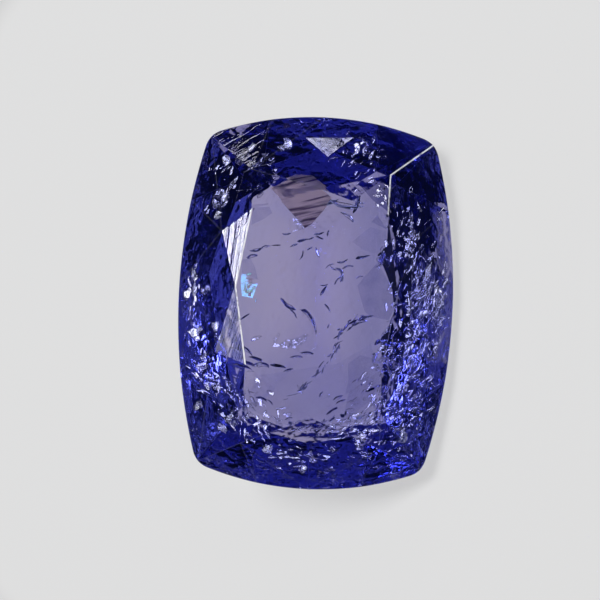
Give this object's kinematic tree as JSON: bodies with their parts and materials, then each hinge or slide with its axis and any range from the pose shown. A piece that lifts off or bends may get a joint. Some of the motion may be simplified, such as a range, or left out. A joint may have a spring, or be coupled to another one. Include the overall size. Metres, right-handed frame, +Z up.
{
  "type": "cushion-cut tanzanite",
  "caption": "Cushion-cut faceted tanzanite, violet-blue and see-through, lying on a long facet of its pavilion with the table facing up and forwards.",
  "frame": {"origin": "bottom centre of the bounding box, level with the facet the stone lies on", "axes": "+X along the stone's length, towards the end that its table sits nearer to; -Y the side the table faces; +Z up"},
  "size_m": [0.0094, 0.0062, 0.0039],
  "materials": {
    "tanzanite": "polished see-through crystal with included patches and lightly worn facet edges"
  },
  "bodies": {
    "root": {"stone": "tanzanite"}
  },
  "joints": []
}
